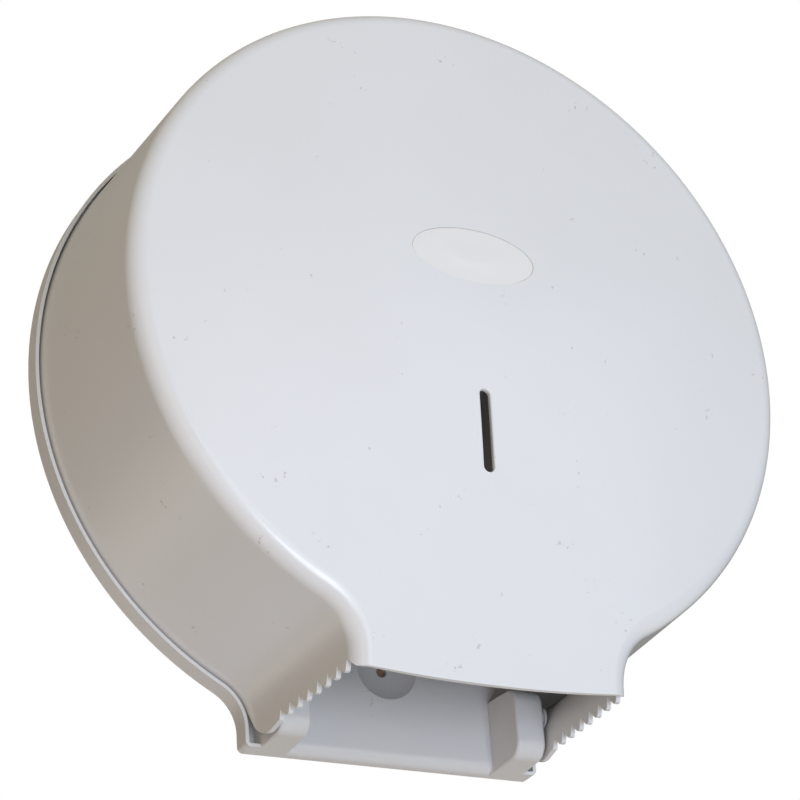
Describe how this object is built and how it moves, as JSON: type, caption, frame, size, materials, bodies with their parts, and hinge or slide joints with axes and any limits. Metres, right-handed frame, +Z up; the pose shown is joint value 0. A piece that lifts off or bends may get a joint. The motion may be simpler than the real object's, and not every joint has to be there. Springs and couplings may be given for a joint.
{
  "type": "jumbo toilet roll dispenser",
  "caption": "Round wall dispenser for a jumbo toilet roll, with a domed hinged cover, serrated tear edges, a level slot, a turning roll hub and a cam lock on top.",
  "frame": {"origin": "on the wall plane, on the axis of the roll hub", "axes": "+X to the right seen from the front, +Y into the wall, +Z up"},
  "size_m": [0.33, 0.1176, 0.3356],
  "materials": {
    "cover_plastic": "moulded, smooth, half gloss",
    "plate_plastic": "moulded, smooth, half gloss",
    "badge_plastic": "glossy, bare",
    "hub_plastic": "fine matt",
    "bush_plastic": "natural nylon",
    "pressed_steel": "zinc plated",
    "lock_metal": "polished, lightly worn"
  },
  "bodies": {
    "wall_unit": {"back_plate": "plate_plastic", "spindle": "hub_plastic", "spindle_screws": "pressed_steel", "hub_washer": "pressed_steel", "hub_cap": "hub_plastic", "hub_cap_screw": "pressed_steel", "strike_bracket": "pressed_steel", "strike_screws": "pressed_steel"},
    "hub": {"hub_bush": "bush_plastic", "core_hub": "hub_plastic", "core_sleeve": "hub_plastic"},
    "cover": {"cover": "cover_plastic", "badge_plate": "badge_plastic", "pivot_stud_left": "hub_plastic", "pivot_stud_right": "hub_plastic", "lock_housing": "lock_metal", "lock_nut": "pressed_steel"},
    "lock": {"lock_plug": "lock_metal", "lock_washer": "pressed_steel", "lock_cam": "pressed_steel", "lock_cam_screw": "pressed_steel"}
  },
  "joints": [
    {"name": "cover_hinge", "type": "hinge", "parent": "wall_unit", "child": "cover", "pos_m": [0, -0.0275, -0.15], "axis": [1, 0, 0], "range_deg": [0, 93]},
    {"name": "hub_spin", "type": "hinge", "parent": "wall_unit", "child": "hub", "pos_m": [0, 0, 0], "axis": [0, 1, 0], "continuous": true},
    {"name": "lock_turn", "type": "hinge", "parent": "cover", "child": "lock", "pos_m": [0, -0.038, 0.15], "axis": [0, 0, -1], "range_deg": [0, 90]}
  ]
}
